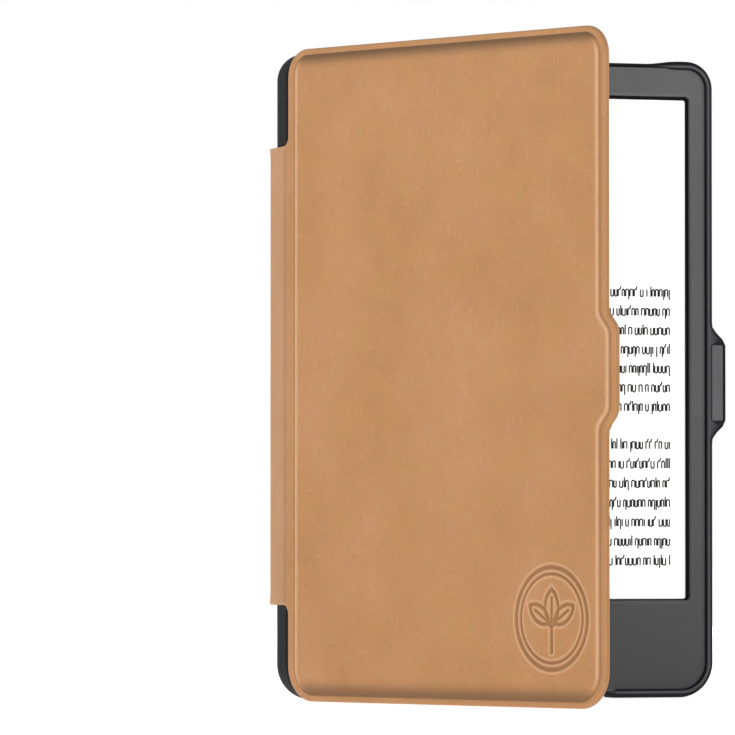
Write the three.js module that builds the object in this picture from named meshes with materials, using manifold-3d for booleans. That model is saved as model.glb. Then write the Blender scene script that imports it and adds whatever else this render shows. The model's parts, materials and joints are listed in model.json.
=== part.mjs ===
// A six-inch e-reader in a leather folio case, standing upright with its cover ajar.
// Millimetres. +X runs away from the spine, +Y to the back of the case and +Z up.
// Within the assembly, x = 0 is the middle of the case, y = 0 the plane of its front rim,
// and z = 0 the surface it stands on.

import * as THREE from 'three';
import { mergeVertices } from 'three/addons/utils/BufferGeometryUtils.js';
import Module from 'manifold-3d';

const wasm = await Module();
wasm.setup();

// Driving dimensions -------------------------------------------------------------------

const CASE = { width: 115.2, height: 163.5, topRadius: 7, bottomRadius: 9, backRound: 3.2 };
const READER = { width: 112, height: 160, thickness: 9.2, radius: 5.8, backRound: 2.4, wall: 1.6 };
const TAB = { z: 80.8, proud: 3.5, flatHalf: 10.2, baseHalf: 14 };
const COVER_REST_ANGLE = 66.5;
const COVER_HINGE_GAP = 1.4;
const SPINE = { bottom: 24, top: 139.5, offset: 0.8 };
const POWER = { x: 37.9, z: 143.5 };

const FIT = 0.15;
const GLUE_GAP = 0.05;
const ARC_STEPS = 5;
const BIG = 400;

// Planes from the front rim to the back, along Y.
const LIP_BACK = 0.7;
const LIP_OVERLAP = 0.7;
const READER_FRONT = LIP_BACK + FIT;
const READER_BACK = READER_FRONT + READER.thickness;
const CAVITY_FLOOR = READER_BACK + FIT;
const SHELL_BACK = CAVITY_FLOOR + 1.1;
const LEATHER_BACK = SHELL_BACK + GLUE_GAP + 0.8;
const BEZEL_BACK = READER_FRONT + 1.1;
const HOUSING_FLOOR = READER_BACK - 1.2;

const READER_BOTTOM = (CASE.height - READER.height) / 2;
const WINDOW = { halfWidth: 50.5, bottom: 25.3, top: 153.5 };
const PANEL = { halfWidth: 53, bottom: 23.4, top: 155.6 };
const FRAME = { front: 4.25, back: 5.05 };
const BOARD = { front: 6.2, back: 7.0 };

// Hinge lines of the leather spine, both parallel to Z.
const HINGE_X = -(CASE.width / 2 + SPINE.offset);
const BACK_HINGE_Y = LEATHER_BACK - 0.4;
const COVER = { inner: 1.3, boardBack: 0.75, boardFront: -0.35, face: -1.0, raised: -1.35 };
const FRONT_HINGE_Y = -(0.45 + COVER.inner);

// Materials ----------------------------------------------------------------------------

function material(color, roughness, metalness = 0) {
  return new THREE.MeshStandardMaterial({ color, roughness, metalness });
}

const leather = () => material('#c5966c', 0.8);
const lining = () => material('#4a4744', 0.95);
const shellPlastic = () => material('#464648', 0.55);
const readerPlastic = () => material('#626365', 0.6);
const blackFoam = () => material('#101012', 0.9);
const boardFibre = () => material('#1f4d33', 0.6);
const chipPlastic = () => material('#18181a', 0.5);
const amberFilm = () => material('#b9772d', 0.5);
const steel = () => material('#b4b6b9', 0.35, 1);

// Solids -------------------------------------------------------------------------------

function toSolid(geometry) {
  const bare = geometry.clone();
  bare.deleteAttribute('normal');
  bare.deleteAttribute('uv');
  const merged = mergeVertices(bare, 1e-5);
  const mesh = new wasm.Mesh({
    numProp: 3,
    vertProperties: merged.attributes.position.array,
    triVerts: new Uint32Array(merged.index.array),
  });
  return new wasm.Manifold(mesh);
}

function toGeometry(solid) {
  const { vertProperties, triVerts } = solid.getMesh();
  const geometry = new THREE.BufferGeometry();
  geometry.setAttribute('position', new THREE.BufferAttribute(vertProperties, 3));
  geometry.setIndex(new THREE.BufferAttribute(triVerts, 1));
  geometry.computeVertexNormals();
  return geometry;
}

// The base with every piece of `added` joined on and then every piece of `removed` cut away.
function carve(base, { added = [], removed = [] }) {
  let solid = toSolid(base);
  for (const geometry of added) solid = solid.add(toSolid(geometry));
  for (const geometry of removed) solid = solid.subtract(toSolid(geometry));
  return toGeometry(solid);
}

function block(x, y, z) {
  const geometry = new THREE.BoxGeometry(x[1] - x[0], y[1] - y[0], z[1] - z[0]);
  return geometry.translate((x[0] + x[1]) / 2, (y[0] + y[1]) / 2, (z[0] + z[1]) / 2);
}

// An upright outline, drawn in X and Z, given thickness from yFront to yBack.
function slab(shape, yFront, yBack, bevel = 0) {
  const geometry = new THREE.ExtrudeGeometry(shape, {
    depth: yBack - yFront - 2 * bevel,
    curveSegments: ARC_STEPS,
    bevelEnabled: bevel > 0,
    bevelThickness: bevel,
    bevelSize: bevel,
    bevelOffset: -bevel,
    bevelSegments: bevel > 1 ? 3 : 1,
  });
  return geometry.rotateX(Math.PI / 2).translate(0, yBack - bevel, 0);
}

// A round bar along Y.
function bar(radius, [x, z], yFront, yBack, sides = 24) {
  const geometry = new THREE.CylinderGeometry(radius, radius, yBack - yFront, sides);
  return geometry.translate(x, (yFront + yBack) / 2, z);
}

// A turned piece about a Y axis at [x, z]. The profile lists [radius, y] along the outside.
function turned(profile, [x, z], sides = 28) {
  const fromBack = profile[0][1] > profile[profile.length - 1][1];
  const ordered = fromBack ? profile.toReversed() : profile;
  const points = ordered.map(([radius, y]) => new THREE.Vector2(radius, y));
  return new THREE.LatheGeometry(points, sides).translate(x, 0, z);
}

// Outlines -----------------------------------------------------------------------------

// A rectangle with its own radius at each corner, and a closure tab on its right side if given.
function outline({ left, right, bottom, top, bottomLeft, bottomRight, topRight, topLeft, tab }) {
  const quarter = Math.PI / 2;
  const shape = new THREE.Shape();
  shape.moveTo(left + bottomLeft, bottom);
  shape.lineTo(right - bottomRight, bottom);
  shape.absarc(right - bottomRight, bottom + bottomRight, bottomRight, -quarter, 0, false);
  if (tab) {
    shape.lineTo(right, TAB.z - tab.baseHalf);
    shape.lineTo(right + tab.proud, TAB.z - tab.flatHalf);
    shape.lineTo(right + tab.proud, TAB.z + tab.flatHalf);
    shape.lineTo(right, TAB.z + tab.baseHalf);
  }
  shape.lineTo(right, top - topRight);
  shape.absarc(right - topRight, top - topRight, topRight, 0, quarter, false);
  shape.lineTo(left + topLeft, top);
  shape.absarc(left + topLeft, top - topLeft, topLeft, quarter, 2 * quarter, false);
  shape.lineTo(left, bottom + bottomLeft);
  shape.absarc(left + bottomLeft, bottom + bottomLeft, bottomLeft, 2 * quarter, 3 * quarter, false);
  return shape;
}

function rectangle(left, right, bottom, top, radius) {
  const corners = { bottomLeft: radius, bottomRight: radius, topRight: radius, topLeft: radius };
  return outline({ left, right, bottom, top, ...corners });
}

function shellOutline() {
  const half = CASE.width / 2;
  const { topRadius, bottomRadius } = CASE;
  return outline({
    left: -half, right: half, bottom: 0, top: CASE.height,
    bottomLeft: bottomRadius, bottomRight: bottomRadius, topRight: topRadius, topLeft: topRadius,
    tab: TAB,
  });
}

// The reader's outline, grown by `grow` on every side.
function readerOutline(grow = 0) {
  const half = READER.width / 2 + grow;
  const bottom = READER_BOTTOM - grow;
  return rectangle(-half, half, bottom, bottom + READER.height + 2 * grow, READER.radius + grow);
}

// The cover's outline in its own frame, where x = 0 is the hinge line, shrunk by `inset`.
function coverOutline(inset) {
  const lower = CASE.bottomRadius - inset;
  const upper = CASE.topRadius - inset;
  const shorter = 0.4 * inset;
  return outline({
    left: COVER_HINGE_GAP + inset, right: CASE.width + SPINE.offset - inset,
    bottom: inset, top: CASE.height - inset,
    bottomLeft: lower, bottomRight: lower, topRight: upper, topLeft: upper,
    tab: { proud: TAB.proud, flatHalf: TAB.flatHalf - shorter, baseHalf: TAB.baseHalf - shorter },
  });
}

// A cut in the middle of an upper or lower edge whose ends slope, `ramp` wider at zOuter.
function edgeNotch(halfWidth, ramp, zInner, zOuter) {
  const shape = new THREE.Shape();
  shape.moveTo(-halfWidth, zInner);
  shape.lineTo(halfWidth, zInner);
  shape.lineTo(halfWidth + ramp, zOuter);
  shape.lineTo(-halfWidth - ramp, zOuter);
  shape.closePath();
  return shape;
}

// Case shell ---------------------------------------------------------------------------

const RING = { outer: 9.1, crest: 8.1, inner: 5.85, seat: 6.9, back: LEATHER_BACK + 0.8 };

// The upper rim is lowered along its middle, with sloping ends, and its lip is left out there.
const TOP_NOTCH = { halfWidth: 40, ramp: 8, drop: 0.7, lipHeight: 8, lipDepth: 1.8 };

// Between the two lower lugs only the edge of the back plate is left.
const BOTTOM_NOTCH = { halfWidth: 29.8, rise: 1.4, wallHeight: 4, wallBack: CAVITY_FLOOR - 1 };

const TAB_MAGNET = { x: [57.7, 59.9], y: [1.1, 3.0], halfHeight: 8 };
const TAB_RECESS = { x: [57.2, 60.4], back: 0.95, halfHeight: 9.9 };
const TAB_PLATE = { x: [57.3, 60.3], y: [0.3, 0.85], halfHeight: 9.75 };

// The height span of a part centred on the tab.
function onTab(halfHeight) {
  return [TAB.z - halfHeight, TAB.z + halfHeight];
}

function buttonRing() {
  const profile = [
    [RING.inner, SHELL_BACK - 0.6], [RING.outer, SHELL_BACK - 0.6], [RING.outer, LEATHER_BACK],
    [8.8, RING.back - 0.25], [RING.crest, RING.back], [7.3, RING.back - 0.15],
    [RING.inner, LEATHER_BACK - 0.1], [RING.inner, SHELL_BACK - 0.6],
  ];
  return turned(profile, [POWER.x, POWER.z]);
}

function shell() {
  const centre = [POWER.x, POWER.z];
  const body = slab(shellOutline(), -CASE.backRound - 1, SHELL_BACK, CASE.backRound);
  const overTop = CASE.height + 1;
  const top = TOP_NOTCH;
  const bottom = BOTTOM_NOTCH;
  const between = [-bottom.halfWidth, bottom.halfWidth];
  const magnetRoom = 0.2;
  const cuts = [
    block([-BIG, BIG], [-BIG, 0], [-BIG, BIG]),
    slab(readerOutline(FIT), LIP_BACK, CAVITY_FLOOR),
    slab(readerOutline(-LIP_OVERLAP), -1, LIP_BACK + 0.1),
    slab(edgeNotch(top.halfWidth, top.ramp, CASE.height - top.drop, overTop), -1, BIG),
    slab(edgeNotch(top.halfWidth, top.ramp, CASE.height - top.lipHeight, overTop), -1, top.lipDepth),
    block(between, [-1, BIG], [-1, bottom.rise]),
    block(between, [-1, bottom.wallBack], [-1, bottom.wallHeight]),
    bar(RING.seat, centre, CAVITY_FLOOR - 0.1, CAVITY_FLOOR + 1.05),
    bar(RING.inner, centre, CAVITY_FLOOR, BIG, 32),
    block(TAB_RECESS.x, [-1, TAB_RECESS.back], onTab(TAB_RECESS.halfHeight)),
    block(
      [TAB_MAGNET.x[0] - magnetRoom, TAB_MAGNET.x[1] + magnetRoom],
      [0, TAB_MAGNET.y[1] + magnetRoom],
      onTab(TAB_MAGNET.halfHeight + magnetRoom),
    ),
  ];
  return carve(body, { added: [buttonRing()], removed: cuts });
}

function tabMagnet() {
  return block(TAB_MAGNET.x, TAB_MAGNET.y, onTab(TAB_MAGNET.halfHeight));
}

function tabMagnetCover() {
  return block(TAB_PLATE.x, TAB_PLATE.y, onTab(TAB_PLATE.halfHeight));
}

function backLeather() {
  const half = CASE.width / 2;
  const radius = 4.6;
  const edge = 4.8;
  const topEdge = 4.5;
  const yFront = SHELL_BACK + GLUE_GAP;
  const panel = outline({
    left: -half + edge, right: half - edge, bottom: edge, top: CASE.height - topEdge,
    bottomLeft: radius, bottomRight: radius, topRight: radius, topLeft: radius,
    tab: { proud: edge + 1.9, flatHalf: TAB.flatHalf, baseHalf: 19.3 },
  });
  const toSpine = block([-half + 0.2, -half + 10], [yFront, LEATHER_BACK], [SPINE.bottom, SPINE.top]);
  const buttonHole = bar(RING.outer + 0.2, [POWER.x, POWER.z], 0, BIG, 32);
  return carve(slab(panel, yFront, LEATHER_BACK), { added: [toSpine], removed: [buttonHole] });
}

// Power button -------------------------------------------------------------------------

function buttonCap() {
  const profile = [
    [0, LEATHER_BACK - 0.15], [2.5, LEATHER_BACK - 0.05], [4.6, LEATHER_BACK + 0.25],
    [5.3, LEATHER_BACK + 0.4], [5.6, LEATHER_BACK + 0.25], [5.6, SHELL_BACK - 0.2],
    [6.6, SHELL_BACK - 0.2], [6.6, SHELL_BACK - 0.6], [2, SHELL_BACK - 0.6],
    [2, READER_BACK + 0.1], [0, READER_BACK + 0.1],
  ];
  return turned(profile, [POWER.x, POWER.z]);
}

const KEY = { radius: 4.5, flange: 5.2, hole: 4.65 };

function powerKey() {
  const flangeBack = HOUSING_FLOOR - 0.05;
  const profile = [
    [0, READER_BACK], [KEY.radius, READER_BACK], [KEY.radius, flangeBack], [KEY.flange, flangeBack],
    [KEY.flange, flangeBack - 0.5], [1, flangeBack - 0.5], [1, flangeBack - 1.1], [0, flangeBack - 1.1],
  ];
  return turned(profile, [POWER.x, POWER.z]);
}

// Reader casing and screen -------------------------------------------------------------

const FRAME_SCREWS = [[-49, 157.6], [49, 157.6], [-49, 8], [49, 8], [-22, 8], [22, 8]];
const BOARD_SCREWS = [[-45, 15], [45, 15], [-45, 47], [45, 47]];
const USB = { halfWidth: 4.5, front: 5.3, back: 8.5, depth: 7.3 };

// An upright bar with the round-ended section of the socket, grown by `grow`.
function portBar(grow, bottom, top) {
  const half = USB.halfWidth + grow;
  const radius = (USB.back - USB.front) / 2 - 0.1 + grow;
  const section = rectangle(-half, half, USB.front - grow, USB.back + grow, radius);
  const geometry = new THREE.ExtrudeGeometry(section, {
    depth: top - bottom, curveSegments: ARC_STEPS, bevelEnabled: false,
  });
  return geometry.translate(0, 0, bottom);
}

function frontBezel() {
  const plate = slab(readerOutline(), READER_FRONT, BEZEL_BACK, 0.35);
  const right = WINDOW.halfWidth + 0.9;
  const opening = rectangle(-right, right, WINDOW.bottom - 0.4, WINDOW.top + 0.9, 1.2);
  return carve(plate, { removed: [slab(opening, -1, BIG)] });
}

function rearHousing() {
  const rim = BEZEL_BACK + GLUE_GAP;
  const body = slab(readerOutline(), -3, READER_BACK, READER.backRound);
  const hollow = slab(readerOutline(-READER.wall), -4, HOUSING_FLOOR);
  const opened = carve(body, { removed: [block([-BIG, BIG], [-BIG, rim], [-BIG, BIG]), hollow] });
  const socket = portBar(0.3, 0, READER_BOTTOM + READER.wall + 1);
  const bosses = FRAME_SCREWS.map((place) => bar(2.3, place, FRAME.back + 0.1, HOUSING_FLOOR + 0.3, 16));
  const bores = FRAME_SCREWS.map((place) => bar(1.1, place, FRAME.back, HOUSING_FLOOR - 0.4, 16));
  const keyHole = bar(KEY.hole, [POWER.x, POWER.z], HOUSING_FLOOR - 1, BIG, 32);
  return carve(opened, { added: bosses, removed: [...bores, keyHole, socket] });
}

function screenGasket() {
  const outer = rectangle(-PANEL.halfWidth, PANEL.halfWidth, PANEL.bottom, PANEL.top, 1.5);
  const inner = rectangle(-WINDOW.halfWidth, WINDOW.halfWidth, WINDOW.bottom, WINDOW.top, 0.6);
  return carve(slab(outer, 2.0, 2.15), { removed: [slab(inner, -1, BIG)] });
}

function panelSheet(yFront, yBack) {
  const sheet = rectangle(-PANEL.halfWidth, PANEL.halfWidth, PANEL.bottom, PANEL.top, 1.5);
  return slab(sheet, yFront, yBack);
}

const FLEXES = {
  display_flex: { x: [-14, 14], front: 3.4, top: PANEL.bottom - 0.1 },
  touch_flex: { x: [27, 35], front: 2.2, top: PANEL.bottom - 0.1 },
  frontlight_flex: { x: [-35, -27], front: 2.6, top: 20.9 },
};

// A ribbon that leaves the screen's lower edge, bends down and goes back through the middle frame.
function flex({ x, front, top }) {
  const thickness = 0.3;
  const turn = 16.4;
  const end = BOARD.front - 0.1;
  const ribbon = new THREE.Shape();
  ribbon.moveTo(front, top);
  ribbon.lineTo(front, turn);
  ribbon.lineTo(end, turn);
  ribbon.lineTo(end, turn + thickness);
  ribbon.lineTo(front + thickness, turn + thickness);
  ribbon.lineTo(front + thickness, top);
  ribbon.closePath();
  const geometry = new THREE.ExtrudeGeometry(ribbon, { depth: x[1] - x[0], bevelEnabled: false });
  const upright = new THREE.Matrix4().makeBasis(
    new THREE.Vector3(0, 1, 0), new THREE.Vector3(0, 0, 1), new THREE.Vector3(1, 0, 0),
  );
  return geometry.applyMatrix4(upright).translate(x[0], 0, 0);
}

// Reader inside ------------------------------------------------------------------------

function middleFrame() {
  const plate = slab(rectangle(-53.6, 53.6, 4.2, 159.3, 3), FRAME.front, FRAME.back);
  const posts = BOARD_SCREWS.map((place) => bar(1.8, place, FRAME.back - 0.3, BOARD.front - GLUE_GAP, 16));
  const screwHoles = FRAME_SCREWS.map((place) => bar(1.1, place, FRAME.front - 1, FRAME.back + 1, 16));
  const threads = BOARD_SCREWS.map((place) => bar(0.9, place, FRAME.front + 0.4, BIG, 12));
  const slots = Object.values(FLEXES).map(({ x }) => (
    block([x[0] - 1, x[1] + 1], [0, FRAME.back + 0.1], [15.4, 18.2])
  ));
  return carve(plate, { added: posts, removed: [...screwHoles, ...threads, ...slots] });
}

function mainBoard() {
  const plate = slab(rectangle(-48, 48, 12, 50, 1), BOARD.front, BOARD.back);
  const tongue = block([-12, 12], [BOARD.front, BOARD.back], [3.8, 14]);
  const notchHalf = USB.halfWidth + 0.2;
  const notch = block([-notchHalf, notchHalf], [0, BIG], [0, READER_BOTTOM + USB.depth + 0.5]);
  const holes = BOARD_SCREWS.map((place) => bar(1.2, place, 0, BIG, 16));
  return carve(plate, { added: [tongue], removed: [notch, ...holes] });
}

function usbPort() {
  const bottom = READER_BOTTOM + 0.1;
  const top = bottom + USB.depth;
  const mouth = portBar(-0.4, 0, top - 1);
  const tongue = block([-3.3, 3.3], [6.55, 7.25], [bottom + 1, top - 0.5]);
  return carve(portBar(0, bottom, top), { removed: [carve(mouth, { removed: [tongue] })] });
}

// A part of the given size standing on the back of the main board at [x, z].
function onBoard([x, z], width, height, thickness) {
  const yFront = BOARD.back + GLUE_GAP;
  const across = [x - width / 2, x + width / 2];
  return block(across, [yFront, yFront + thickness], [z - height / 2, z + height / 2]);
}

function screw([x, z], { head, headRadius, tip, shankRadius }) {
  const under = head[1];
  const profile = [
    [0, tip], [shankRadius, tip], [shankRadius, under], [headRadius, under],
    [headRadius, head[0]], [0, head[0]],
  ];
  return turned(profile, [x, z], 12);
}

const FRAME_SCREW = {
  head: [FRAME.front - 0.85, FRAME.front - 0.05], headRadius: 1.6, tip: 8, shankRadius: 0.8,
};
const BOARD_SCREW = {
  head: [BOARD.back + 0.7, BOARD.back + 0.05], headRadius: 1.5, tip: 5.3, shankRadius: 0.6,
};

// Spine and cover ----------------------------------------------------------------------

// One layer of the spine strap in the frame of the rear hinge line, from x[0] to x[1].
function spineLayer(x) {
  const front = FRONT_HINGE_Y - BACK_HINGE_Y + 1.2;
  return block(x, [front, -1], [SPINE.bottom, SPINE.top]);
}

function coverLeather() {
  const sheet = slab(coverOutline(0), COVER.face, COVER.boardBack);
  const raisedPanel = slab(coverOutline(1.5), COVER.raised, COVER.face + 0.6, 0.3);
  const pocket = slab(coverOutline(0.9), COVER.boardFront - GLUE_GAP, BIG);
  return carve(sheet, { added: [raisedPanel], removed: [pocket] });
}

const SLEEP_MAGNET = { x: 105, z: 30, halfWidth: 2.5, halfHeight: 5 };
const CLOSURE_MAGNET = { x: CASE.width + SPINE.offset, z: TAB.z, halfWidth: 1.4, halfHeight: 8 };

function magnet({ x, z, halfWidth, halfHeight }, grow, yFront, yBack) {
  const width = halfWidth + grow;
  const height = halfHeight + grow;
  return block([x - width, x + width], [yFront, yBack], [z - height, z + height]);
}

function coverBoard() {
  const board = slab(coverOutline(1.2), COVER.boardFront, COVER.boardBack);
  const floor = COVER.boardFront + 0.2;
  const pockets = [SLEEP_MAGNET, CLOSURE_MAGNET].map((place) => magnet(place, 0.2, floor, BIG));
  return carve(board, { removed: pockets });
}

function coverMagnet(place) {
  return magnet(place, 0, COVER.boardFront + 0.3, COVER.boardBack - 0.05);
}

function coverLining() {
  return slab(coverOutline(0.7), COVER.boardBack + GLUE_GAP, COVER.inner);
}

// Assembly -----------------------------------------------------------------------------

function add(group, name, geometry, finish) {
  const mesh = new THREE.Mesh(geometry, finish);
  mesh.name = name;
  group.add(mesh);
}

function buildCase() {
  const group = new THREE.Group();
  add(group, 'case_shell', shell(), shellPlastic());
  add(group, 'back_leather', backLeather(), leather());
  add(group, 'tab_magnet', tabMagnet(), steel());
  add(group, 'tab_magnet_cover', tabMagnetCover(), readerPlastic());
  return group;
}

function buildScreen(group) {
  add(group, 'front_bezel', frontBezel(), readerPlastic());
  add(group, 'rear_housing', rearHousing(), readerPlastic());
  add(group, 'screen_gasket', screenGasket(), blackFoam());
  add(group, 'touch_film', panelSheet(2.2, 2.5), material('#f4f3ef', 0.4));
  add(group, 'frontlight_guide', panelSheet(2.55, 3.1), material('#f0f0ea', 0.3));
  add(group, 'eink_panel', panelSheet(3.15, 4.15), material('#e9e8e2', 0.7));
  add(group, 'led_strip', block([-48, 48], [2.55, 3.1], [21.2, 23.2]), material('#d9d2b0', 0.5));
  for (const [name, ribbon] of Object.entries(FLEXES)) add(group, name, flex(ribbon), amberFilm());
}

function buildElectronics(group) {
  add(group, 'middle_frame', middleFrame(), material('#8d8f92', 0.5, 0.8));
  add(group, 'battery', block([-31, 31], [5.15, 8.35], [56, 112]), material('#a9abad', 0.45));
  add(group, 'battery_lead', block([-24, -18], [7.2, 7.9], [47.1, 55.7]), amberFilm());
  add(group, 'battery_connector', onBoard([-21, 45], 8, 3.6, 1.3), material('#e8e4d8', 0.6));
  add(group, 'main_board', mainBoard(), boardFibre());
  add(group, 'soc_shield', onBoard([10, 34], 26, 22, 1.6), steel());
  add(group, 'memory_chip', onBoard([-9, 33], 9, 11.5, 1), chipPlastic());
  add(group, 'wifi_module', onBoard([-34, 33], 13, 13, 1.6), steel());
  add(group, 'power_chip', onBoard([32, 24], 6, 6, 0.8), chipPlastic());
  add(group, 'hall_sensor', onBoard([44, 30], 2.9, 1.6, 1), chipPlastic());
  add(group, 'usb_c_port', usbPort(), steel());
  add(group, 'switch_board', block([31, 45], [5.9, 6.5], [137, 150]), boardFibre());
  const switchSide = 2.6;
  const switchX = [POWER.x - switchSide, POWER.x + switchSide];
  const switchZ = [POWER.z - switchSide, POWER.z + switchSide];
  add(group, 'power_switch', block(switchX, [6.55, 7.2], switchZ), steel());
  add(group, 'switch_flex', block([40, 44], [6.1, 6.4], [50.3, 136.7]), amberFilm());
}

function buildScrews(group) {
  FRAME_SCREWS.forEach((place, index) => {
    add(group, `frame_screw_${index + 1}`, screw(place, FRAME_SCREW), steel());
  });
  BOARD_SCREWS.forEach((place, index) => {
    add(group, `board_screw_${index + 1}`, screw(place, BOARD_SCREW), steel());
  });
}

function buildReader() {
  const group = new THREE.Group();
  buildScreen(group);
  buildElectronics(group);
  buildScrews(group);
  return group;
}

function buildPowerButton() {
  const group = new THREE.Group();
  add(group, 'button_cap', buttonCap(), shellPlastic());
  add(group, 'power_key', powerKey(), readerPlastic());
  return group;
}

function buildSpine() {
  const group = new THREE.Group();
  group.position.set(HINGE_X, BACK_HINGE_Y, 0);
  add(group, 'spine_leather', spineLayer([-0.6, 0.1]), leather());
  add(group, 'spine_lining', spineLayer([0.15, 0.6]), lining());
  return group;
}

function buildCover() {
  const group = new THREE.Group();
  group.position.set(HINGE_X, FRONT_HINGE_Y, 0);
  group.rotation.z = THREE.MathUtils.degToRad(-COVER_REST_ANGLE);
  add(group, 'cover_leather', coverLeather(), leather());
  add(group, 'cover_board', coverBoard(), material('#8a8378', 0.9));
  add(group, 'cover_lining', coverLining(), lining());
  add(group, 'sleep_magnet', coverMagnet(SLEEP_MAGNET), steel());
  add(group, 'closure_magnet', coverMagnet(CLOSURE_MAGNET), steel());
  return group;
}

const folio = new THREE.Group();
folio.add(buildCase(), buildReader(), buildPowerButton(), buildSpine(), buildCover());

// The origin is the middle of the whole object's box, on the surface it stands on.
folio.updateMatrixWorld(true);
const middle = new THREE.Box3().setFromObject(folio, true).getCenter(new THREE.Vector3());
folio.position.set(-middle.x, -middle.y, 0);

export default folio;
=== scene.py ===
"""Looks of an e-reader in a leather folio case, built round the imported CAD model.

Lengths are in millimetres until the last step of each shape, where they become metres. In the
case's own frame x = 0 is the middle of the case, y = 0 the plane of its front rim and z = 0 the
surface it stands on. +Y is the back.
"""

import json
import math
import random

import bmesh
import bpy
import numpy as np
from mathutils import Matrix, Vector
from mathutils.geometry import delaunay_2d_cdt


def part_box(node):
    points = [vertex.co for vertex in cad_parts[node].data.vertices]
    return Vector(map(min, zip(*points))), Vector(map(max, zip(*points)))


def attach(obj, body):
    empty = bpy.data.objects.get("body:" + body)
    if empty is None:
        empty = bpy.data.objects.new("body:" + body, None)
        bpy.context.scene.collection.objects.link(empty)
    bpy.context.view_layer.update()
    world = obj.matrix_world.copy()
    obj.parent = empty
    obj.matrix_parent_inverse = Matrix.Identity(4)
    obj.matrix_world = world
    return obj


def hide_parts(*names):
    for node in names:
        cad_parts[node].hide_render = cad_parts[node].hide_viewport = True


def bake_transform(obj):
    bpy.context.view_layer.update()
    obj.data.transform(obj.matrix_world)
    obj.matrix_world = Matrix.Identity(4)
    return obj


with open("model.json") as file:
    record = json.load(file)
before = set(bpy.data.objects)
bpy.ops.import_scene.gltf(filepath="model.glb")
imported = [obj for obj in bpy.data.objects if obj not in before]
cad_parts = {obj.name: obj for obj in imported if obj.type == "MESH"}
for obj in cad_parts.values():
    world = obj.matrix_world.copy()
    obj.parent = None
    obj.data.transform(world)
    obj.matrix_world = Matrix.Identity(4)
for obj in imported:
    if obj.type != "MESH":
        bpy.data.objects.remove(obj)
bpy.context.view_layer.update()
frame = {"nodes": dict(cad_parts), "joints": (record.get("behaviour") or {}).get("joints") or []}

MM = 0.001
SHARP_ANGLE = math.radians(38)

# Dimensions ----

SHELL_LOW, SHELL_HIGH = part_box("case_shell")
HEIGHT = SHELL_HIGH.z / MM
HALF = 57.6
PLATE_LOW, PLATE_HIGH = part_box("tab_magnet_cover")
TAB_Z = (PLATE_LOW.z + PLATE_HIGH.z) / 2 / MM
TAB_PROUD = 3.5
TAB_MARKS = [TAB_Z - 16, TAB_Z - 8, TAB_Z + 8, TAB_Z + 16]
CASE_RADII = (9.0, 9.0, 7.0, 7.0)
SHELL_BACK = 11.3
LEATHER_BACK = 12.15
CAVITY_FLOOR = 10.2
SPINE_BOTTOM, SPINE_TOP = 24.0, 139.5
ORIGIN = np.array([SHELL_LOW.x / MM + HALF, SHELL_LOW.y / MM, 0.0])

CAP_LOW, CAP_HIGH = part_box("button_cap")
POWER_X = (CAP_LOW.x + CAP_HIGH.x) / 2 / MM - ORIGIN[0]
POWER_Z = (CAP_LOW.z + CAP_HIGH.z) / 2 / MM

JOINTS = {joint["name"]: joint for joint in frame["joints"]}
FRONT_HINGE = np.array(JOINTS["cover_fold"]["pos_m"][:2]) / MM - ORIGIN[:2]
REAR_HINGE = np.array(JOINTS["spine_fold"]["pos_m"][:2]) / MM - ORIGIN[:2]
COVER_ANGLE = math.radians(-JOINTS["cover_fold"]["range_deg"][0])
STRAP_MIDDLE = (FRONT_HINGE[1] + REAR_HINGE[1]) / 2


def smooth(t):
    t = np.clip(t, 0.0, 1.0)
    return t * t * (3.0 - 2.0 * t)


def add_object(name, data):
    obj = bpy.data.objects.new(name, data)
    bpy.context.scene.collection.objects.link(obj)
    return obj


def to_space(points):
    return (np.asarray(points, float) + ORIGIN) * MM


def upright(flat, y):
    """The (x, z) points of `flat` as (x, y, z) points at one y, or at one y for each."""
    return np.stack([flat[:, 0], np.full(len(flat), y, float), flat[:, 1]], 1)


def direction(azimuth, elevation):
    """A unit vector from the object. Azimuth 0 is towards its front, positive to its right."""
    a, e = math.radians(azimuth), math.radians(elevation)
    return Vector((math.sin(a) * math.cos(e), -math.cos(a) * math.cos(e), math.sin(e)))


# Outlines ----
# An outline is a closed loop of (u, v) points with the inward normal at each.


def steps(start, end, marks, gap):
    knots = [start, *marks, end]
    out = []
    for a, b in zip(knots, knots[1:]):
        count = max(1, round(abs(b - a) / gap))
        out += list(np.linspace(a, b, count, endpoint=False))
    return out


def rounded(left, right, bottom, top, radii, gap=2.2, arc=10, low=(), high=(), right_marks=()):
    """A rectangle with a radius at each corner, anticlockwise from its lower left corner."""
    bl, br, tr, tl = radii
    points, normals = [], []

    def side(values, point, normal):
        for value in values:
            points.append(point(value))
            normals.append(normal)

    def corner(cx, cz, radius, start):
        for i in range(arc):
            a = math.radians(start + 90.0 * i / arc)
            points.append((cx + radius * math.cos(a), cz + radius * math.sin(a)))
            normals.append((-math.cos(a), -math.sin(a)))

    side(steps(left + bl, right - br, low, gap)[1:], lambda x: (x, bottom), (0, 1))
    corner(right - br, bottom + br, br, -90)
    side(steps(bottom + br, top - tr, right_marks, gap), lambda z: (right, z), (-1, 0))
    corner(right - tr, top - tr, tr, 0)
    side(steps(right - tr, left + tl, high, gap), lambda x: (x, top), (0, -1))
    corner(left + tl, top - tl, tl, 90)
    side(steps(top - tl, bottom + bl, (), gap), lambda z: (left, z), (1, 0))
    corner(left + bl, bottom + bl, bl, 180)
    return np.array(points), np.array(normals)


def eased(distance, knots, window=1.0):
    """A bump's height at a distance from its middle: the line through the knots, rounded off."""
    at, height = zip(*knots)
    offsets = np.linspace(-window, window, 9)
    near = np.abs(np.asarray(distance, float)[..., None] + offsets)
    return np.interp(near, at, height, right=0.0).mean(-1)


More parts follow.
